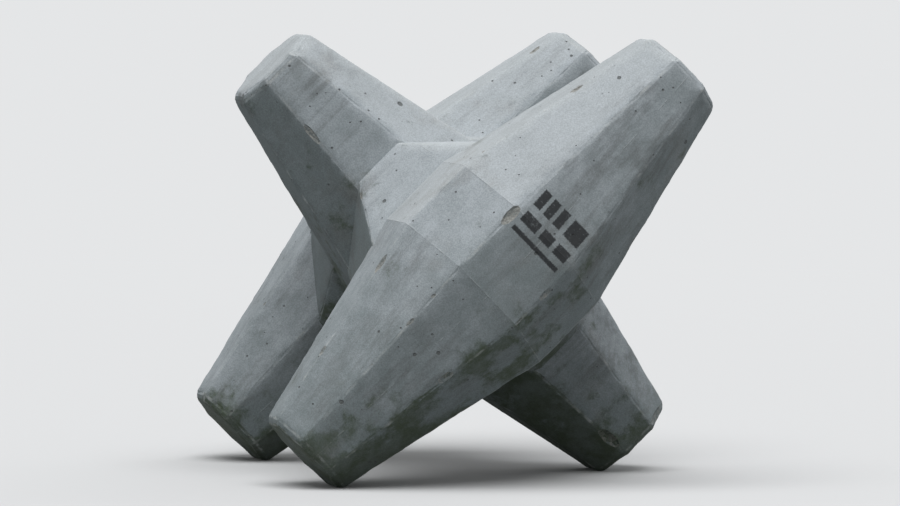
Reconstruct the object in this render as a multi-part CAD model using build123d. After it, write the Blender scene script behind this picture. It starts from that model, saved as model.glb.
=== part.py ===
from build123d import *
import math
import os

# A cast concrete breakwater armour unit: three octagonal limbs, each tapering to both of its ends,
# set across one short shank. The two outer limbs are parallel and the middle one is square to them.
# Where a limb leaves the shank, sloping faces carry the flat of one limb over to the flat of the next.
# The unit stands as it is stored, with its shank level and its limbs leaning at 45 degrees.
# Millimetres. +Y is along the shank, +Z is up, and the origin is on the floor under the middle.

# Driving dimensions
limb_length = 2083.0       # one limb, from end face to end face
tip_width = 377.0          # across the flats of a limb's end, where its chamfer starts
tip_chamfer = 22.0         # leg of the 45 degree chamfer round each end face
band_width = 754.0         # across the flats of the straight band round a limb's middle
band_length = 312.0        # length of that band along the limb
outer_limb_offset = 664.5  # from the middle limb's axis to each outer limb's axis, along the shank
shank_width = 885.0        # across the shank's four faces that lie between the limbs
flare_reach = 515.0        # how far from the shank's axis the sloping faces climb each limb
limb_lean = 45.0           # lean of the outer limbs; the middle limb is square to them

# Worked out from them
flat_share = math.tan(math.radians(22.5))  # a regular octagon's side as a share of its width
band_end = band_length / 2
taper_end = limb_length / 2 - tip_chamfer
band_flat_half = band_width / 2 * flat_share
taper_angle = math.degrees(math.atan((band_width - tip_width) / 2 / (taper_end - band_end)))


def half_width_at(reach):
    """Half of a limb's width across its flats, at this distance along the limb from the shank's axis."""
    share = (taper_end - reach) / (taper_end - band_end)
    return (tip_width + share * (band_width - tip_width)) / 2


# A sloping face leaves one limb at the inner edge of its band's side flat and climbs the next limb's flat
slope_top = outer_limb_offset - half_width_at(flare_reach)
slope_share = (flare_reach - band_width / 2) / (slope_top - band_flat_half)
slope_foot = band_width / 2 - slope_share * band_flat_half


def octagon(across_flats, height):
    """An octagon with a flat to each side, given across its flats, at this height up a limb."""
    return Plane.XY.offset(height) * RegularPolygon(across_flats / 2, 8, major_radius=False, rotation=22.5)


def half_limb():
    """From the middle of a limb to one end face: half the band, the taper and the chamfered tip."""
    band = extrude(octagon(band_width, 0), amount=band_end)
    taper = extrude(octagon(band_width, band_end), amount=taper_end - band_end, taper=taper_angle)
    tip = extrude(octagon(tip_width, taper_end), amount=tip_chamfer, taper=45)
    return band + taper + tip


def limb():
    """A whole limb along Z, the same at both ends."""
    upper = half_limb()
    return upper + upper.rotate(Axis.X, 180)


def whole_outline(quarter):
    """A face from the outline of its first quarter, which starts at the shank's middle."""
    corner = make_face(Polyline(quarter, close=True))
    half = corner + mirror(corner, about=Plane.YZ)
    return half + mirror(half, about=Plane.XZ)


def middle_slopes():
    """A bar through the shank along X. Its sloping faces run from the front and back flats of the
    middle limb, which is along Z here, down to the side flats of the outer limbs."""
    quarter = [
        (0, 0),
        (outer_limb_offset, 0),
        (outer_limb_offset, slope_foot),
        (half_width_at(flare_reach), flare_reach),
        (0, flare_reach),
    ]
    return extrude(Plane.YZ * whole_outline(quarter), amount=limb_length / 2, both=True)


def outer_slopes():
    """A bar through the shank along Z. Its sloping faces run from the inner flats of the outer
    limbs, which are along X here, down to the side flats of the middle limb."""
    quarter = [
        (0, 0),
        (outer_limb_offset, 0),
        (outer_limb_offset, flare_reach),
        (slope_top, flare_reach),
        (0, slope_foot),
    ]
    return extrude(Rot(0, 0, 90) * whole_outline(quarter), amount=limb_length / 2, both=True)


def shank():
    """The short body between the limbs, with its four plain faces turned 45 degrees from them."""
    block = Box(shank_width, 2 * outer_limb_offset, shank_width).rotate(Axis.Y, 45)
    return block & middle_slopes() & outer_slopes()


def armour_unit():
    """The shank and the three limbs as one casting, at its stored lean and height above the floor."""
    middle = limb()
    outer = middle.rotate(Axis.Y, 90)
    unit = shank() + middle
    for side in (-1, 1):
        unit += Pos(0, side * outer_limb_offset, 0) * outer
    unit = unit.rotate(Axis.Y, -limb_lean)
    return Pos(0, 0, -unit.bounding_box().min.Z) * unit


os.makedirs("parts", exist_ok=True)
unit = armour_unit()
unit.label = "armour_unit"
export_step(unit, "parts/armour_unit.step")
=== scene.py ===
"""Dresses a cast concrete breakwater armour unit in worn, weathered concrete, and lights it."""

import math
import random
from types import SimpleNamespace

import bmesh
import bpy
from mathutils import Matrix, Vector
from mathutils.bvhtree import BVHTree
import numpy as np


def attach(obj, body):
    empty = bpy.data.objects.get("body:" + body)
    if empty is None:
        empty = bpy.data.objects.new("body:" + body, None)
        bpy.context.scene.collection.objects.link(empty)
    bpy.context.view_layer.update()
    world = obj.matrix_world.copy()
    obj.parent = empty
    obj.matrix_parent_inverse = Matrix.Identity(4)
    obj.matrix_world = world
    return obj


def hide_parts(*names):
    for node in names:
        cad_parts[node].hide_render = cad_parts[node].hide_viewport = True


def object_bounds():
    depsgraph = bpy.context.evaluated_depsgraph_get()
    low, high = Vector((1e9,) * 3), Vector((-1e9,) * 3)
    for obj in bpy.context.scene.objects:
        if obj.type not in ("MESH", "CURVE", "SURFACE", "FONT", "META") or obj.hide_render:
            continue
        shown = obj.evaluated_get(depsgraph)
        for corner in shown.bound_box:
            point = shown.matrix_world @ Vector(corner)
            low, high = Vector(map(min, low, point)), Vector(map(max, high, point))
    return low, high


bl_info = {
    "name": "Concrete Armour Unit",
    "version": (1, 0, 0),
    "blender": (4, 5, 0),
    "location": "View3D > Sidebar > Armour Unit",
    "description": "Models a weathered cast concrete breakwater armour unit on its packed frame",
    "category": "Object",
}

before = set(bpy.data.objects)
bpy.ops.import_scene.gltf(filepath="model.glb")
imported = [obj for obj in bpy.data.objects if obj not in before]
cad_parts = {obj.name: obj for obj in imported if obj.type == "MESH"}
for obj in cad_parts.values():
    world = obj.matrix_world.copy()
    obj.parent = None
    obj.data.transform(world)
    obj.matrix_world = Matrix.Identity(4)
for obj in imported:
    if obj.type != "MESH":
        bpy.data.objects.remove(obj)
cad_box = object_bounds()

# The casting, in metres. Its outer limbs lean towards +X and the middle limb is square to them.
casting_node = "armour_unit"
piece_name = "weathered_armour_unit"
band_width = 0.754                                  # across the flats of the band round a limb's middle
band_length = 0.312                                 # length of that band along the limb
limb_length = 2.083
limb_lean = math.radians(45)
axis_height = (cad_box[0].z + cad_box[1].z) / 2     # the shank's axis above the floor
outer_offset = cad_box[1].y - band_width / 2        # from the middle limb to each outer limb
middle = Vector((0, 0, axis_height))

# How its faces and lines are told apart
merge_gap = 2e-5                   # points nearer than this are one
flat_fold = math.radians(0.5)      # faces that meet under this angle are one flat face
arris_fold = math.radians(20)      # an arris turns by more than this, the band's ends by less

# Turns a point into the frame of the limbs: the outer limbs run along Z there and the middle one along X
to_limbs = Matrix.Rotation(-limb_lean, 4, "Y") @ Matrix.Translation(-middle)
along_outer = Vector((math.sin(limb_lean), 0, math.cos(limb_lean)))
along_middle = Vector((math.cos(limb_lean), 0, -math.sin(limb_lean)))
along_shank = Vector((0, 1, 0))


class CastingSizes(bpy.types.PropertyGroup):
    """Sizes of the worn arrises, the chips and the mesh that carries them"""

    arris_width: bpy.props.FloatProperty(
        name="Arris Width", description="Width that is rounded off each side of an arris",
        default=0.008, min=0.002, max=0.02, unit="LENGTH")
    grid_pitch: bpy.props.FloatProperty(
        name="Grid Pitch", description="Distance between the cuts that divide the faces for wear",
        default=0.018, min=0.01, max=0.1, unit="LENGTH")
    wear_reach: bpy.props.FloatProperty(
        name="Wear Reach", description="How far from an arris its wear reaches",
        default=0.032, min=0.005, max=0.1, unit="LENGTH")
    wear_depth: bpy.props.FloatProperty(
        name="Wear Depth", description="The most that wear takes off an arris",
        default=0.010, min=0.0, max=0.02, unit="LENGTH")
    chip_count: bpy.props.IntProperty(
        name="Chips", description="How many chips are knocked out of the arrises",
        default=120, min=1, max=300)
    chip_radius: bpy.props.FloatProperty(
        name="Chip Radius", description="Radius of the largest chip",
        default=0.038, min=0.005, max=0.1, unit="LENGTH")
    seed: bpy.props.IntProperty(
        name="Seed", description="Another number knocks the chips elsewhere", default=7, min=0)


class ConcreteColours(bpy.types.PropertyGroup):
    """Colours of the weathered concrete"""

    clean: bpy.props.FloatVectorProperty(
        name="Clean Concrete", description="Concrete that rain has washed",
        subtype="COLOR", size=3, default=(0.392, 0.428, 0.458), min=0, max=1)
    aged: bpy.props.FloatVectorProperty(
        name="Aged Concrete", description="Concrete that has darkened with age",
        subtype="COLOR", size=3, default=(0.163, 0.194, 0.200), min=0, max=1)
    damp: bpy.props.FloatVectorProperty(
        name="Damp Stain", description="Streaks and stains left by running water",
        subtype="COLOR", size=3, default=(0.085, 0.092, 0.090), min=0, max=1)
    algae: bpy.props.FloatVectorProperty(
        name="Algae", description="Growth on the undersides and near the ground",
        subtype="COLOR", size=3, default=(0.046, 0.064, 0.035), min=0, max=1)
    earth: bpy.props.FloatVectorProperty(
        name="Earth Stain", description="Faint brown staining",
        subtype="COLOR", size=3, default=(0.150, 0.128, 0.098), min=0, max=1)
    # Lime also paints light on faces that look up
    lime: bpy.props.FloatVectorProperty(
        name="Lime", description="Pale cement on rubbed arrises and mould seams",
        subtype="COLOR", size=3, default=(0.470, 0.495, 0.490), min=0, max=1)
    trowelled: bpy.props.FloatVectorProperty(
        name="Trowelled Concrete", description="Open upper ends of the outer limbs",
        subtype="COLOR", size=3, default=(0.300, 0.322, 0.336), min=0, max=1)
    broken: bpy.props.FloatVectorProperty(
        name="Broken Concrete", description="Inside of a chip",
        subtype="COLOR", size=3, default=(0.270, 0.268, 0.250), min=0, max=1)
    paint: bpy.props.FloatVectorProperty(
        name="Marking Paint", description="Worn dark paint of the stencilled marks",
        subtype="COLOR", size=3, default=(0.022, 0.024, 0.026), min=0, max=1)


class StageSettings(bpy.types.PropertyGroup):
    """Camera, floor and light"""

    azimuth: bpy.props.FloatProperty(
        name="Azimuth", description="Direction that the camera looks from, 0 along +Y",
        default=math.radians(-14), subtype="ANGLE")
    elevation: bpy.props.FloatProperty(
        name="Elevation", description="Height of the camera above the horizon",
        default=math.radians(2.8), subtype="ANGLE")
    roll: bpy.props.FloatProperty(
        name="Roll", description="Tilt of the camera about its own axis",
        default=math.radians(0.6), subtype="ANGLE")
    distance: bpy.props.FloatProperty(
        name="Distance", description="From the camera to the middle of the unit",
        default=27.7, min=5, max=100, unit="LENGTH")
    picture_width: bpy.props.FloatProperty(
        name="Picture Width", description="Width that the picture takes in at the unit",
        default=3.52, min=1, max=10, unit="LENGTH")
    sky: bpy.props.FloatProperty(
        name="Sky", description="Strength of the even light from all round",
        default=0.36, min=0, max=2)
    softbox: bpy.props.FloatProperty(
        name="Softbox", description="Strength of the soft light from above",
        default=2.85, min=0, max=10)
    rear_softbox: bpy.props.FloatProperty(
        name="Rear Softbox", description="Strength of the soft light from behind",
        default=0.75, min=0, max=10)
    backdrop: bpy.props.FloatVectorProperty(
        name="Backdrop", description="Colour of the floor and of what is behind it",
        subtype="COLOR", size=3, default=(0.78, 0.79, 0.80), min=0, max=1)


# Meshes


def take_up(piece):
    """Selects this piece alone and makes it active."""
    bpy.ops.object.select_all(action="DESELECT")
    piece.select_set(True)
    bpy.context.view_layer.objects.active = piece


def finished_piece(name):
    """The piece of this name, or an error where an earlier step hasn't made it."""
    if name not in bpy.data.objects:
        raise RuntimeError(f"{name} isn't there yet; run the steps in order")
    return bpy.data.objects[name]


def flat_faces():
    """The casting with its triangles joined into whole flat faces, to be measured and then freed."""
    shape = bmesh.new()
    shape.from_mesh(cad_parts[casting_node].data)
    bmesh.ops.remove_doubles(shape, verts=shape.verts, dist=merge_gap)
    bmesh.ops.dissolve_limit(shape, angle_limit=flat_fold, verts=shape.verts, edges=shape.edges)
    return shape


def place_of(point):
    """A point to the millimetre, to sort faces and lines by, however they were meshed."""
    return tuple(round(part, 3) for part in point)


def is_arris(fold):
    """Whether two faces that meet at this fold have an arris between them."""
    return fold > arris_fold


def is_crevice(fold):
    """Whether two faces that meet at this fold have a crevice between them."""
    return fold < -flat_fold


def fold_lines(is_wanted):
    """The lines where two flat faces meet at a wanted fold, as (start, end, way out of the casting)."""
    shape = flat_faces()
    lines = []
    for edge in shape.edges:
        if is_wanted(edge.calc_face_angle_signed()):
            start, end = sorted((vertex.co.copy() for vertex in edge.verts), key=place_of)
            way_out = sum((face.normal for face in edge.link_faces), Vector()).normalized()
            lines.append((start, end, way_out))
    shape.free()
    return sorted(lines, key=lambda line: place_of(line[0]) + place_of(line[1]))


def nearness(points, lines, reach):
    """1 on a line, falling evenly to 0 at this reach from the nearest one, for each point."""
    nearest = np.full(len(points), np.inf)
    for start, end, _ in lines:
        start, run = np.array(start), np.array(end - start)
        share = np.clip((points - start) @ run / (run @ run), 0, 1)
        nearest = np.minimum(nearest, np.linalg.norm(points - start - share[:, None] * run, axis=1))
    return np.clip(1 - nearest / reach, 0, 1)


def points_of(mesh):
    """A mesh's vertices as rows of an array."""
    points = np.empty(len(mesh.vertices) * 3)
    mesh.vertices.foreach_get("co", points)
    return points.reshape(-1, 3)


def material_named(name):
    """The material of this name, made once."""
    return bpy.data.materials.get(name) or bpy.data.materials.new(name)


class ARMOUR_OT_cast(bpy.types.Operator):
    """Copies the casting, joins its flat faces, rounds the arrises and divides the faces for wear"""

    bl_idname = "armour.cast"
    bl_label = "Cast the Unit"

    arris_segments = 3
    corner_parts = 9       # a cut that passes a corner within a ninth of the pitch runs through it

    def execute(self, context):
        sizes = context.scene.casting_sizes
        piece = bpy.data.objects.new(piece_name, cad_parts[casting_node].data.copy())
        context.scene.collection.objects.link(piece)
        take_up(piece)
        bpy.ops.mesh.customdata_custom_splitnormals_clear()
        bpy.ops.object.mode_set(mode="EDIT")
        bpy.ops.mesh.select_mode(type="EDGE")
        bpy.ops.mesh.select_all(action="SELECT")
        bpy.ops.mesh.remove_doubles(threshold=merge_gap)
        bpy.ops.mesh.dissolve_limited(angle_limit=flat_fold)
        bpy.ops.mesh.select_all(action="DESELECT")
        shape = bmesh.from_edit_mesh(piece.data)
        for edge in shape.edges:
            edge.select = is_arris(edge.calc_face_angle_signed())
        bpy.ops.mesh.bevel(
            offset=sizes.arris_width, segments=self.arris_segments, profile=0.5, affect="EDGES")
        for direction in (along_outer, along_middle, along_shank):
            self.divide(direction, sizes.grid_pitch)
        bpy.ops.object.mode_set(mode="OBJECT")
        return {"FINISHED"}

    def divide(self, direction, pitch):
        """Cuts every face by parallel planes, half a pitch off the middle so as to miss its edges."""
        half_count = int(limb_length / 2 / pitch)
        for step in range(-half_count - 1, half_count + 1):
            bpy.ops.mesh.select_all(action="SELECT")
            bpy.ops.mesh.bisect(plane_co=middle + direction * (step + 0.5) * pitch, plane_no=direction,
                                threshold=pitch / self.corner_parts)


class ARMOUR_OT_wear(bpy.types.Operator):
    """Rubs the arrises down unevenly, except where the unit stands"""

    bl_idname = "armour.wear"
    bl_label = "Wear the Arrises"

    # Each kind of wear: its name, the size of its patches and its share of the wear depth
    kinds = (("rub", 0.09, 0.65), ("nick", 0.022, 0.35))
    noise_layers = 3
    brightness = 0.95
    contrast = 2.2
    group_name = "near_arris"      # kept as text, because applying a modifier replaces the group

    def execute(self, context):
        sizes = context.scene.casting_sizes
        piece = finished_piece(piece_name)
        points = points_of(piece.data)
        weights = nearness(points, fold_lines(is_arris), sizes.wear_reach) ** 2
        weights *= np.clip((points[:, 2] - sizes.wear_depth) / sizes.wear_reach, 0, 1)
        near_arris = piece.vertex_groups.new(name=self.group_name)
        for index, weight in enumerate(weights):
            if weight > 0:
                near_arris.add([index], weight, "REPLACE")
        for kind, patch, depth in self.kinds:
            texture = bpy.data.textures.new(kind, "CLOUDS")
            texture.noise_scale = patch
            texture.noise_depth = self.noise_layers
            texture.intensity = self.brightness
            texture.contrast = self.contrast
            texture.use_clamp = True       # so that wear never pushes a face outwards
            worn = piece.modifiers.new(kind, "DISPLACE")
            worn.texture = texture
            worn.vertex_group = self.group_name
            worn.mid_level = 0
            worn.strength = -sizes.wear_depth * depth
            take_up(piece)
            bpy.ops.object.modifier_apply(modifier=kind)
        return {"FINISHED"}


class ARMOUR_OT_chip(bpy.types.Operator):
    """Knocks chips out of the arrises, with rough lumps that are cut away from the casting"""

    bl_idname = "armour.chip"
    bl_label = "Chip the Arrises"

    lump_kinds = 6
    lump_roughness = 0.12        # how far its points are moved, as a share of its radius
    lump_smoothing = 0.2
    smallest = 0.24              # radius of the smallest chip, as a share of the largest
    rarity = 2.4                 # the higher it is, the fewer of the chips are large
    spacing = 3                  # gap between two chips, in their radii
    along_arris = (0.07, 0.93)   # part of each arris that is chipped
    stretch = (1.3, 2.8)         # length of a chip along its arris, in radii
    thickness = (0.7, 1)
    way_off = (0.42, 0.70)       # how far outside the arris its lump is centred, in radii

    def execute(self, context):
        sizes = context.scene.casting_sizes
        piece = finished_piece(piece_name)
        piece.data.materials.clear()
        piece.data.materials.append(material_named("cast_concrete"))
        piece.data.materials.append(material_named("broken_concrete"))
        lumps = [self.rough_lump(kind) for kind in range(self.lump_kinds)]
        cutters = []
        for index, matrix in enumerate(self.places(sizes)):
            cutter = bpy.data.objects.new(f"chip_{index}", lumps[index % self.lump_kinds].data.copy())
            cutter.data.transform(matrix)
            context.scene.collection.objects.link(cutter)
            cutters.append(cutter)
        for lump in lumps:
            bpy.data.objects.remove(lump)
        take_up(cutters[0])
        for cutter in cutters:
            cutter.select_set(True)
        bpy.ops.object.join()
        knocked = piece.modifiers.new("knocked", "BOOLEAN")
        knocked.operation = "DIFFERENCE"
        knocked.solver = "MANIFOLD"
        knocked.material_mode = "TRANSFER"
        knocked.object = cutters[0]
        take_up(piece)
        bpy.ops.object.modifier_apply(modifier=knocked.name)
        bpy.data.objects.remove(cutters[0])
        return {"FINISHED"}

    def rough_lump(self, kind):
        """A lump of radius 1 with a broken surface."""
        bpy.ops.object.select_all(action="DESELECT")
        bpy.ops.mesh.primitive_ico_sphere_add(subdivisions=3, radius=1)
        lump = bpy.context.active_object
        lump.data.materials.append(material_named("broken_concrete"))
        bpy.ops.object.mode_set(mode="EDIT")
        bpy.ops.mesh.select_all(action="SELECT")
        bpy.ops.transform.vertex_random(offset=self.lump_roughness, seed=kind)
        bpy.ops.mesh.vertices_smooth(factor=self.lump_smoothing)
        bpy.ops.object.mode_set(mode="OBJECT")
        return lump

    def places(self, sizes):
        """Where the chips go: a matrix for each, centred outside an arris and drawn out along it."""
        dice = random.Random(sizes.seed)
        arrises = fold_lines(is_arris)
        lengths = [(end - start).length for start, end, _ in arrises]
        taken, matrices = [], []
        while len(matrices) < sizes.chip_count:
            start, end, way_out = dice.choices(arrises, lengths)[0]
            spot = start.lerp(end, dice.uniform(*self.along_arris))
            share = self.smallest + (1 - self.smallest) * dice.random() ** self.rarity
            radius = sizes.chip_radius * share
            clear = all((spot - other).length > self.spacing * (radius + size) for other, size in taken)
            exposed = dice.random() < (spot - middle).length    # the limbs' ends are knocked most
            on_floor = spot.z < 2 * sizes.chip_radius
            if not clear or not exposed or on_floor:
                continue
            taken.append((spot, radius))
            turn = (end - start).to_track_quat("X", "Z").to_matrix().to_4x4()
            drawn = Matrix.Diagonal((dice.uniform(*self.stretch), 1, dice.uniform(*self.thickness), 1))
            spin = Matrix.Rotation(dice.uniform(0, 2 * math.pi), 4, "X")
            centre = spot + way_out * radius * dice.uniform(*self.way_off)
            matrices.append(Matrix.Translation(centre) @ turn @ spin @ drawn @ Matrix.Scale(radius, 4))
        return matrices


class ARMOUR_OT_finish(bpy.types.Operator):
    """Measures how near arrises and crevices are, tones the mould's plates and trowels the open ends"""

    bl_idname = "armour.finish"
    bl_label = "Finish the Concrete"

    smooth_under = math.radians(12)    # under the fold at the band's ends, which stays crisp
    arris_reach = 0.06
    crevice_reach = 0.16
    tone_seed = 3
    end_depth = 0.02                   # how far below a limb's end face its trowelled face can lie
    square_on = 0.99                   # cosine between an end face's way out and its limb

    def execute(self, context):
        piece = finished_piece(piece_name)
        mesh = piece.data
        points = points_of(mesh)
        for label, is_wanted, reach in (
            ("arris", is_arris, self.arris_reach),
            ("crevice", is_crevice, self.crevice_reach),
        ):
            values = mesh.attributes.new(label, "FLOAT", "POINT")
            near = nearness(points, fold_lines(is_wanted), reach)
            values.data.foreach_set("value", near.astype(np.float32))
        shape = flat_faces()
        plates = BVHTree.FromBMesh(shape)
        nearest = [plates.find_nearest(face.center) for face in mesh.polygons]
        self.tone_plates(mesh, shape, [index for _, _, index, _ in nearest])
        shape.free()
        self.trowel_ends(mesh, [way_out for _, way_out, _, _ in nearest])
        take_up(piece)
        bpy.ops.object.shade_smooth_by_angle(angle=self.smooth_under)
        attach(piece, "root")
        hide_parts(casting_node)
        return {"FINISHED"}

    def tone_plates(self, mesh, shape, indices):
        """Gives each flat plate of the mould a tone of its own, kept on the faces that it cast."""
        dice = random.Random(self.tone_seed)
        in_order = sorted(shape.faces, key=lambda face: place_of(face.calc_center_median()))
        tones = {face.index: dice.random() for face in in_order}
        values = mesh.attributes.new("plate", "FLOAT", "FACE")
        values.data.foreach_set("value", [tones[index] for index in indices])

    def trowel_ends(self, mesh, ways_out):
        """The outer limbs stood upright in the mould, so their upper ends were open and were trowelled."""
        mesh.materials.append(material_named("trowelled_concrete"))
        cast, trowelled = (mesh.materials.find(name) for name in ("cast_concrete", "trowelled_concrete"))
        for face, way_out in zip(mesh.polygons, ways_out):
            at_end = (to_limbs @ face.center).z > limb_length / 2 - self.end_depth
            if at_end and way_out.dot(along_outer) > self.square_on and face.material_index == cast:
                face.material_index = trowelled


# Node trees


def add_node(tree, kind, inputs=None, **settings):
    """A shader node with its settings, and its inputs either linked to other nodes or given values."""
    made = tree.nodes.new("ShaderNode" + kind)
    for name, value in settings.items():
        setattr(made, name, value)
    for socket, value in (inputs or {}).items():
        if isinstance(value, bpy.types.NodeSocket):
            tree.links.new(value, made.inputs[socket])
        else:
            made.inputs[socket].default_value = value
    return made


def maths(tree, operation, first, second=0.0):
    """The result of a sum on one or two values."""
    return add_node(tree, "Math", {0: first, 1: second}, operation=operation).outputs[0]


def times(tree, first, second):
    """Two values multiplied."""
    return maths(tree, "MULTIPLY", first, second)


def added(tree, *terms):
    """The sum of (value, share) pairs, each value times its share."""
    parts = [value if share == 1 else times(tree, value, share) for value, share in terms]
    total = parts[0]
    for part in parts[1:]:
        total = maths(tree, "ADD", total, part)
    return total


def between(tree, value, low, high, start=0.0, end=1.0):
    """A smooth step of a value from low to high, given as start to end."""
    made = add_node(tree, "MapRange", {"Value": value, "From Min": low, "From Max": high,
                                       "To Min": start, "To Max": end}, interpolation_type="SMOOTHSTEP")
    return made.outputs["Result"]


def mixed(tree, share, first, second):
    """Two colours mixed by a share."""
    first, second = (colour if isinstance(colour, bpy.types.NodeSocket) else (*colour, 1)
                     for colour in (first, second))
    return add_node(tree, "Mix", {0: share, 6: first, 7: second}, data_type="RGBA").outputs[2]


def noise(tree, vector, scale, detail=3.0, roughness=0.55, stretch=None):
    """Noise from 0 to 1 with this scale, drawn out where stretch is under 1."""
    if stretch:
        vector = add_node(tree, "VectorMath", {0: vector, 1: stretch}, operation="MULTIPLY").outputs[0]
    return add_node(tree, "TexNoise", {"Vector": vector, "Scale": scale, "Detail": detail,
                                       "Roughness": roughness}).outputs["Fac"]


def parts_of(tree, vector):
    """X, Y and Z of a vector."""
    return add_node(tree, "SeparateXYZ", {0: vector}).outputs


def new_group(name, inputs, outputs):
    """An empty shader node group with named inputs and outputs, and its two end nodes."""
    tree = bpy.data.node_groups.new(name, "ShaderNodeTree")
    for in_out, sockets in (("INPUT", inputs), ("OUTPUT", outputs)):
        for label, kind in sockets.items():
            tree.interface.new_socket(label, in_out=in_out, socket_type="NodeSocket" + kind)
    given = tree.nodes.new("NodeGroupInput").outputs
    taken = tree.nodes.new("NodeGroupOutput").inputs
    return tree, given, taken


def use_group(tree, name, inputs):
    """A node group placed in a material with its own values, for its outputs."""
    return add_node(tree, "Group", inputs, node_tree=bpy.data.node_groups[name]).outputs


def make_grain_group():
    """Grain of the cement skin: broad mottling, small specks and the height of both."""
    tree, given, taken = new_group(
        "cement_grain", {"Vector": "Vector", "Roughness": "Float"},
        {"Cloud": "Float", "Mottle": "Float", "Speck": "Float", "Height": "Float"})
    wave_height, grain_height = 0.0030, 0.0007
    cloud = noise(tree, given["Vector"], 2.1, 4, 0.6)
    mottle = noise(tree, given["Vector"], 11, 9, 0.72)
    speck = noise(tree, given["Vector"], 170, 5, 0.7)
    sand = noise(tree, given["Vector"], 520, 2, 0.5)
    for label, value in (("Cloud", cloud), ("Mottle", mottle), ("Speck", speck)):
        tree.links.new(between(tree, value, 0.3, 0.7), taken[label])
    height = added(tree, (mottle, wave_height), (added(tree, (speck, 1), (sand, 0.5)), grain_height))
    tree.links.new(times(tree, height, given["Roughness"]), taken["Height"])


def make_air_holes_group():
    """Small round holes that air left against the mould, in three sizes."""
    tree, given, taken = new_group(
        "air_holes", {"Vector": "Vector", "Amount": "Float"}, {"Hole": "Float", "Height": "Float"})
    depth = 0.0045
    rim = 0.35                                                  # of the largest radius
    layers = ((26, 0.0060), (11, 0.0105), (4.5, 0.0170))        # cells to a metre and the largest radius
    hole = None
    for cells, radius in layers:
        found = add_node(tree, "TexVoronoi", {"Vector": given["Vector"], "Scale": cells, "Randomness": 1.0})
        size_pick, kept_pick, _ = parts_of(tree, found.outputs["Color"])
        distance = maths(tree, "DIVIDE", found.outputs["Distance"], cells)
        edge = times(tree, size_pick, radius)
        inside = between(tree, maths(tree, "SUBTRACT", edge, distance), 0, radius * rim)
        chosen = times(tree, inside, maths(tree, "LESS_THAN", kept_pick, given["Amount"]))
        hole = chosen if hole is None else maths(tree, "MAXIMUM", hole, chosen)
    tree.links.new(hole, taken["Hole"])
    tree.links.new(times(tree, hole, -depth), taken["Height"])


def make_water_streaks_group():
    """Streaks of water that ran down the outer limbs while the unit stood as it was cast."""
    tree, given, taken = new_group(
        "water_streaks", {"Limb Vector": "Vector", "Amount": "Float"}, {"Streak": "Float"})
    vector = given["Limb Vector"]
    fine = noise(tree, vector, 1, 6, 0.66, (38, 38, 1.3))
    broad = noise(tree, vector, 1, 4, 0.55, (11, 11, 0.7))
    streak = between(tree, added(tree, (fine, 0.5), (broad, 0.5)), 0.45, 0.63)
    where = between(tree, noise(tree, vector, 2.3, 3, 0.55), 0.36, 0.56, 0.12, 1.0)
    tree.links.new(times(tree, times(tree, streak, where), given["Amount"]), taken["Streak"])


def make_mould_seams_group():
    """Fine mould seams: one where its halves met, and one round each limb at the band's ends."""
    tree, given, taken = new_group(
        "mould_seams", {"Limb Vector": "Vector"}, {"Seam": "Float", "Height": "Float"})
    parting_width, ring_width, seam_height = 0.0035, 0.004, 0.0012
    across, from_middle, up = parts_of(tree, given["Limb Vector"])
    is_outer = maths(tree, "GREATER_THAN", maths(tree, "ABSOLUTE", from_middle), outer_offset / 2)
    along_limb = add_node(tree, "Mix", {0: is_outer, 2: across, 3: up}, data_type="FLOAT").outputs[0]

    def line(value, place, half_width):
        """1 where a value is this place or its opposite, fading over the half width."""
        off = maths(tree, "ABSOLUTE", maths(tree, "SUBTRACT", maths(tree, "ABSOLUTE", value), place))
        return between(tree, off, half_width, half_width * 0.3)

    parting = times(tree, line(across, 0.0, parting_width), is_outer)
    rings = line(along_limb, band_length / 2, ring_width)
    broken = between(tree, noise(tree, given["Limb Vector"], 14, 6, 0.65), 0.44, 0.60)
    seam = times(tree, maths(tree, "MAXIMUM", parting, rings), broken)
    tree.links.new(seam, taken["Seam"])
    tree.links.new(times(tree, seam, seam_height), taken["Height"])


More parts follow.
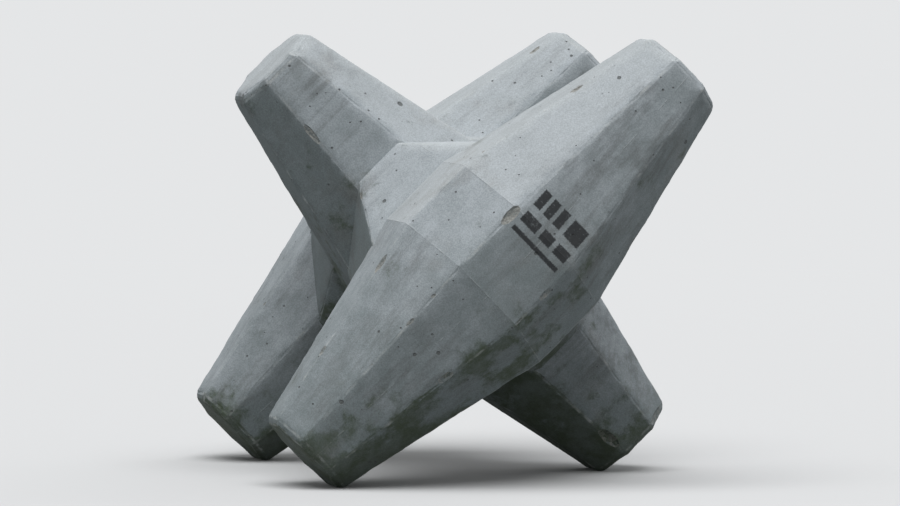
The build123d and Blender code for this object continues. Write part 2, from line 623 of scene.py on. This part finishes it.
def make_weathering_group():
    """What years in the open do to the concrete's colour, with painted shade on undersides, low parts and
    faces that look down and to the left, and painted light on faces that look up.
    """
    colours = ("Clean", "Aged", "Damp", "Algae", "Earth", "Lime")
    values = ("Cloud", "Mottle", "Speck", "Streak", "Hole")
    tree, given, taken = new_group(
        "weathering",
        {"Vector": "Vector", **dict.fromkeys(colours, "Color"), **dict.fromkeys(values, "Float")},
        {"Color": "Color", "Wet": "Float"})
    vector = given["Vector"]
    arris, crevice, plate = (add_node(tree, "Attribute", attribute_name=label).outputs["Fac"]
                             for label in ("arris", "crevice", "plate"))

    # Which way a face looks, and how high above the floor it is in metres
    height = parts_of(tree, vector)[2]
    normal = add_node(tree, "NewGeometry").outputs["Normal"]
    facing_up = parts_of(tree, normal)[2]
    facing_down = between(tree, facing_up, -0.02, -0.50)
    near_ground = between(tree, height, 1.35, 0.1)
    shaded_foot = times(tree, facing_down, near_ground)
    # Darker low down: partly splashed dirt, partly painted shade near the floor
    splash_and_low_shade = between(tree, height, 0.36, 0.12)
    wet_foot = between(tree, height, 0.42, 0.0)
    # Lighter where a face looks up: partly washing by rain, partly painted light from above
    rain_washed_and_lit = between(tree, facing_up, 0.0, 0.5)
    top = between(tree, facing_up, 0.52, 0.72)

    # Painted shade: faces that look down and to the left, away from the outer limbs' upper ends, such as
    # the middle limb's underside, are darker
    facing_along_outer = add_node(tree, "VectorMath", {0: normal, 1: along_outer}, operation="DOT_PRODUCT")
    painted_shade_down_left = between(tree, facing_along_outer.outputs["Value"], -0.35, -0.70, 0.10, 0.52)

    # The age mix is partly painted light. Undersides, the foot and low parts are darker as painted shade on
    # top of real ageing, and faces that look up are lighter as painted light on top of rain washing.
    age = added(tree, (given["Mottle"], 0.32), (given["Cloud"], 0.27), (plate, 0.20), (painted_shade_down_left, 1),
                (near_ground, 0.28), (splash_and_low_shade, 0.30), (facing_down, 0.19), (shaded_foot, 0.20),
                (rain_washed_and_lit, -0.34), (top, -0.34))
    colour = mixed(tree, between(tree, age, -0.35, 1.15), given["Clean"], given["Aged"])
    # Faces that look up are turned paler towards the lime colour: partly rain-washed cement, partly painted
    # light from above
    colour = mixed(tree, between(tree, facing_up, 0.55, 0.72, 0.0, 0.3), colour, given["Lime"])

    earth_patch = between(tree, noise(tree, vector, 3.4, 6, 0.66), 0.54, 0.74, 0.0, 0.26)
    colour = mixed(tree, earth_patch, colour, given["Earth"])
    streaked = times(tree, given["Streak"], between(tree, facing_up, 0.4, 0.72, 0.5, 0.18))
    colour = mixed(tree, streaked, colour, given["Damp"])

    # Algae take hold in patches, first where it stays damp; their pull towards undersides, the shaded foot
    # and creases also paints shade there
    patches = between(tree, noise(tree, vector, 6.5, 8, 0.68), 0.16, 0.84)
    growth = added(tree, (patches, 1), (facing_down, 0.12), (shaded_foot, 0.34), (near_ground, 0.08),
                   (crevice, 0.11), (wet_foot, 0.30))
    cover = between(tree, given["Mottle"], 0.0, 1.0, 0.66, 1.14)
    algae = times(tree, between(tree, growth, 0.76, 1.08, 0.0, 0.80), cover)
    colour = mixed(tree, algae, colour, given["Algae"])

    rubbing = between(tree, noise(tree, vector, 16, 7, 0.7), 0.42, 0.62, 0.0, 0.62)
    rubbed = times(tree, between(tree, arris, 0.84, 0.98), rubbing)
    colour = mixed(tree, rubbed, colour, given["Lime"])
    speck = between(tree, given["Speck"], 0.0, 1.0, 0.86, 1.12)
    colour = add_node(tree, "VectorMath", {0: colour, "Scale": speck}, operation="SCALE").outputs[0]
    # Painted shade: the air holes are darkened towards the damp colour, since their bump casts no shade
    colour = mixed(tree, times(tree, given["Hole"], 0.8), colour, given["Damp"])
    tree.links.new(colour, taken["Color"])
    tree.links.new(maths(tree, "MAXIMUM", algae, given["Streak"]), taken["Wet"])


# The stencilled marks on the front flat of the front outer limb, as plain bars and blocks that stand
# for no letters. Each is (centre across the limb, centre up the limb, width, height).
mark_blocks = (
    (-0.103, 0.252, 0.034, 0.076),
    (-0.051, 0.252, 0.034, 0.076),
    (0.001, 0.252, 0.034, 0.076),
    (0.081, 0.252, 0.076, 0.076),
    (-0.080, 0.158, 0.080, 0.044),
    (0.008, 0.158, 0.056, 0.044),
    (0.088, 0.158, 0.062, 0.044),
    (0.000, 0.098, 0.240, 0.017),
)


def make_marks_group():
    """Worn paint in the shape of the mark blocks, on faces that look to the front."""
    tree, given, taken = new_group(
        "stencilled_marks", {"Limb Vector": "Vector", "Worn": "Float"}, {"Paint": "Float"})
    raggedness, paint_edge, full_paint = 0.0035, 0.0035, -0.0015     # metres outside a block
    across, from_middle, up = parts_of(tree, given["Limb Vector"])
    outside_all = None
    for centre_across, centre_up, width, height in mark_blocks:
        off_across = maths(tree, "ABSOLUTE", maths(tree, "SUBTRACT", across, centre_across))
        off_up = maths(tree, "ABSOLUTE", maths(tree, "SUBTRACT", up, centre_up))
        outside = maths(tree, "MAXIMUM", maths(tree, "SUBTRACT", off_across, width / 2),
                        maths(tree, "SUBTRACT", off_up, height / 2))
        outside_all = outside if outside_all is None else maths(tree, "MINIMUM", outside_all, outside)
    ragged = added(tree, (outside_all, 1), (maths(tree, "SUBTRACT", given["Worn"], 0.5), raggedness))
    paint = between(tree, ragged, paint_edge, full_paint)
    front = maths(tree, "LESS_THAN", from_middle, -outer_offset)
    kept = between(tree, noise(tree, given["Limb Vector"], 60, 6, 0.7), 0.30, 0.46, 0.55, 0.95)
    tree.links.new(times(tree, times(tree, paint, front), kept), taken["Paint"])


def start_concrete(name, colours, skin, roughness, streaks, holes):
    """A concrete's material with its own grain, streaks and holes, and the values that finish it."""
    material = material_named(name)
    material.use_nodes = True
    tree = material.node_tree
    tree.nodes.clear()
    vector = add_node(tree, "TexCoord").outputs["Object"]
    limb_vector = add_node(tree, "Mapping", {"Vector": vector, "Rotation": to_limbs.to_euler(),
                                             "Location": to_limbs.to_translation()}).outputs[0]
    grain = use_group(tree, "cement_grain", {"Vector": vector, "Roughness": roughness})
    air = use_group(tree, "air_holes", {"Vector": vector, "Amount": holes})
    streak = use_group(tree, "water_streaks", {"Limb Vector": limb_vector, "Amount": streaks})
    weathered = use_group(tree, "weathering", {
        "Vector": vector, "Clean": (*skin, 1), "Aged": (*colours.aged, 1), "Damp": (*colours.damp, 1),
        "Algae": (*colours.algae, 1), "Earth": (*colours.earth, 1), "Lime": (*colours.lime, 1),
        "Cloud": grain["Cloud"], "Mottle": grain["Mottle"], "Speck": grain["Speck"],
        "Streak": streak["Streak"], "Hole": air["Hole"]})
    return SimpleNamespace(
        tree=tree, vector=vector, limb_vector=limb_vector, speck=grain["Speck"],
        colour=weathered["Color"], wet=weathered["Wet"],
        height=maths(tree, "ADD", grain["Height"], air["Height"]))


def finish_concrete(tree, colour, rough, height):
    """Puts the colour, roughness and relief on a matt shader."""
    normal = add_node(tree, "Bump", {"Height": height, "Distance": 1.0, "Strength": 1.0}).outputs[0]
    shader = add_node(tree, "BsdfPrincipled", {"Base Color": colour, "Roughness": rough, "Normal": normal,
                                               "Specular IOR Level": 0.35})
    ending = add_node(tree, "OutputMaterial")
    tree.links.new(shader.outputs[0], ending.inputs["Surface"])


class ARMOUR_OT_mix(bpy.types.Operator):
    """Makes the materials: concrete from the mould, trowelled ends and the broken inside of a chip"""

    bl_idname = "armour.mix"
    bl_label = "Mix the Concrete"

    seam_paleness = 0.16
    sweep_height = 0.006       # of the trowel's sweeps
    stone_scale = 85.0         # stones to a metre in broken concrete
    stone_height = 0.004

    def execute(self, context):
        colours = context.scene.concrete_colours
        make_grain_group()
        make_air_holes_group()
        make_water_streaks_group()
        make_mould_seams_group()
        make_weathering_group()
        make_marks_group()
        self.mix_cast(colours)
        self.mix_trowelled(colours)
        self.mix_broken(colours)
        return {"FINISHED"}

    def mix_cast(self, colours):
        """Concrete that set against the mould, with its seams and the stencilled marks."""
        cast = start_concrete(
            "cast_concrete", colours, colours.clean, roughness=1.0, streaks=1.0, holes=0.55)
        tree = cast.tree
        seams = use_group(tree, "mould_seams", {"Limb Vector": cast.limb_vector})
        marks = use_group(tree, "stencilled_marks", {"Limb Vector": cast.limb_vector, "Worn": cast.speck})
        colour = mixed(tree, times(tree, seams["Seam"], self.seam_paleness), cast.colour, colours.lime)
        colour = mixed(tree, marks["Paint"], colour, colours.paint)
        rough = between(tree, cast.wet, 0, 1, 0.92, 0.74)
        finish_concrete(tree, colour, rough, maths(tree, "ADD", cast.height, seams["Height"]))

    def mix_trowelled(self, colours):
        """Concrete with the sweeps of a trowel across it."""
        ends = start_concrete(
            "trowelled_concrete", colours, colours.trowelled, roughness=2.2, streaks=0.3, holes=0.2)
        tree = ends.tree
        sweeps = noise(tree, ends.limb_vector, 16, 7, 0.65, (1.0, 0.22, 1.0))
        colour = mixed(tree, between(tree, sweeps, 0.38, 0.66, 0.0, 0.75), ends.colour, colours.aged)
        rough = between(tree, ends.wet, 0, 1, 0.95, 0.8)
        finish_concrete(tree, colour, rough, added(tree, (ends.height, 1), (sweeps, self.sweep_height)))

    def mix_broken(self, colours):
        """Broken concrete, rough with the stones in it."""
        chip = start_concrete(
            "broken_concrete", colours, colours.broken, roughness=3.0, streaks=0.2, holes=0.0)
        tree = chip.tree
        stones = add_node(tree, "TexVoronoi", {"Vector": chip.vector, "Scale": self.stone_scale})
        shade = between(tree, parts_of(tree, stones.outputs["Color"])[0], 0.0, 1.0, 0.0, 0.5)
        colour = mixed(tree, shade, chip.colour, colours.broken)
        rough = between(tree, shade, 0, 1, 0.95, 0.85)
        relief = added(tree, (chip.height, 1), (stones.outputs["Distance"], -self.stone_height))
        finish_concrete(tree, colour, rough, relief)


class ARMOUR_OT_stage(bpy.types.Operator):
    """Sets the floor, the camera and the light"""

    bl_idname = "armour.stage"
    bl_label = "Set the Stage"

    floor_radius = 200.0
    floor_sides = 96
    fade_start, fade_end = 3.5, 16.0       # where the lit floor gives way to the plain backdrop
    lit_share = 0.75                       # of the floor's colour, so that it renders as the backdrop
    bounce_share = 0.42                    # of the floor's colour in the light that it throws on the unit
    softbox_direction = Vector((-0.14, -0.29, 0.95))
    rear_direction = Vector((0.62, 0.66, 0.42))
    softbox_angle = math.radians(55)
    sensor_width = 36.0                    # millimetres
    far_clip = 1000.0

    def execute(self, context):
        stage = context.scene.stage_settings
        self.lay_floor(stage)
        self.light_sky(context.scene, stage)
        self.hang_lamp(context.scene, "softbox", stage.softbox, self.softbox_direction)
        self.hang_lamp(context.scene, "rear_softbox", stage.rear_softbox, self.rear_direction)
        self.place_camera(context.scene, stage)
        context.scene.view_settings.view_transform = "Standard"
        return {"FINISHED"}

    def lay_floor(self, stage):
        """A wide floor that is lit near the unit and plain backdrop further out, and clear from below."""
        bpy.ops.object.select_all(action="DESELECT")
        bpy.ops.mesh.primitive_circle_add(
            vertices=self.floor_sides, radius=self.floor_radius, fill_type="NGON")
        floor = bpy.context.active_object
        floor.name = "floor"
        material = bpy.data.materials.new("floor")
        material.use_nodes = True
        tree = material.node_tree
        tree.nodes.clear()
        seen = add_node(tree, "LightPath").outputs["Is Camera Ray"]
        pale = tuple(stage.backdrop)
        thrown = tuple(part * self.bounce_share for part in pale)
        shown = tuple(part * self.lit_share for part in pale)
        lit = add_node(tree, "BsdfDiffuse", {"Color": mixed(tree, seen, thrown, shown)}).outputs[0]
        plain = add_node(tree, "Emission", {"Color": (*pale, 1)}).outputs[0]
        place = add_node(tree, "TexCoord").outputs["Object"]
        out = add_node(tree, "VectorMath", {0: place}, operation="LENGTH").outputs["Value"]
        far = times(tree, between(tree, out, self.fade_start, self.fade_end), seen)
        front = add_node(tree, "MixShader", {0: far, 1: lit, 2: plain}).outputs[0]
        under = add_node(tree, "NewGeometry").outputs["Backfacing"]
        clear = add_node(tree, "BsdfTransparent").outputs[0]
        both = add_node(tree, "MixShader", {0: times(tree, under, seen), 1: front, 2: clear})
        tree.links.new(both.outputs[0], add_node(tree, "OutputMaterial").inputs["Surface"])
        floor.data.materials.append(material)

    def light_sky(self, scene, stage):
        """Even light from all round, which the camera and reflections see as the backdrop."""
        world = bpy.data.worlds.new("studio")
        scene.world = world
        world.use_nodes = True
        tree = world.node_tree
        tree.nodes.clear()
        path = add_node(tree, "LightPath").outputs
        seen = maths(tree, "MAXIMUM", path["Is Camera Ray"],
                     maths(tree, "MAXIMUM", path["Is Glossy Ray"], path["Is Transmission Ray"]))
        light = add_node(tree, "Background", {"Color": (1, 1, 1, 1), "Strength": stage.sky}).outputs[0]
        plain = add_node(tree, "Background", {"Color": (*stage.backdrop, 1), "Strength": 1.0}).outputs[0]
        both = add_node(tree, "MixShader", {0: seen, 1: light, 2: plain}).outputs[0]
        tree.links.new(both, add_node(tree, "OutputWorld").inputs["Surface"])

    def hang_lamp(self, scene, name, strength, direction):
        """A wide soft lamp far off in this direction."""
        lamp = bpy.data.objects.new(name, bpy.data.lights.new(name, "SUN"))
        lamp.data.energy = strength
        lamp.data.angle = self.softbox_angle
        lamp.rotation_mode = "QUATERNION"
        lamp.rotation_quaternion = direction.to_track_quat("Z", "Y")
        scene.collection.objects.link(lamp)

    def place_camera(self, scene, stage):
        """A camera that looks at the middle of the unit."""
        level = math.cos(stage.elevation)
        back = Vector((math.sin(stage.azimuth) * level, -math.cos(stage.azimuth) * level,
                       math.sin(stage.elevation)))
        camera = bpy.data.objects.new("camera", bpy.data.cameras.new("camera"))
        camera.location = middle + back * stage.distance
        camera.rotation_mode = "QUATERNION"
        aim = (-back).to_track_quat("-Z", "Y").to_matrix()
        camera.rotation_quaternion = (aim @ Matrix.Rotation(stage.roll, 3, "Z")).to_quaternion()
        camera.data.sensor_width = self.sensor_width
        camera.data.lens = self.sensor_width * stage.distance / stage.picture_width
        camera.data.clip_end = self.far_clip
        scene.collection.objects.link(camera)
        scene.camera = camera


class ARMOUR_PT_panel(bpy.types.Panel):
    """Lists the steps and their sizes in the 3D view's sidebar"""

    bl_idname = "ARMOUR_PT_panel"
    bl_label = "Concrete Armour Unit"
    bl_space_type = "VIEW_3D"
    bl_region_type = "UI"
    bl_category = "Armour Unit"

    def draw(self, context):
        scene = context.scene
        for settings in (scene.casting_sizes, scene.concrete_colours, scene.stage_settings):
            box = self.layout.box()
            for name in type(settings).__annotations__:
                box.prop(settings, name)
        for step in steps:
            self.layout.operator(step.bl_idname)


steps = (ARMOUR_OT_mix, ARMOUR_OT_cast, ARMOUR_OT_wear, ARMOUR_OT_chip, ARMOUR_OT_finish, ARMOUR_OT_stage)
classes = (CastingSizes, ConcreteColours, StageSettings, *steps, ARMOUR_PT_panel)


def register():
    for each in classes:
        bpy.utils.register_class(each)
    bpy.types.Scene.casting_sizes = bpy.props.PointerProperty(type=CastingSizes)
    bpy.types.Scene.concrete_colours = bpy.props.PointerProperty(type=ConcreteColours)
    bpy.types.Scene.stage_settings = bpy.props.PointerProperty(type=StageSettings)


def unregister():
    del bpy.types.Scene.stage_settings
    del bpy.types.Scene.concrete_colours
    del bpy.types.Scene.casting_sizes
    for each in reversed(classes):
        bpy.utils.unregister_class(each)


def main():
    register()
    bpy.ops.armour.mix()
    bpy.ops.armour.cast()
    bpy.ops.armour.wear()
    bpy.ops.armour.chip()
    bpy.ops.armour.finish()
    bpy.ops.armour.stage()


if __name__ == "__main__":
    main()
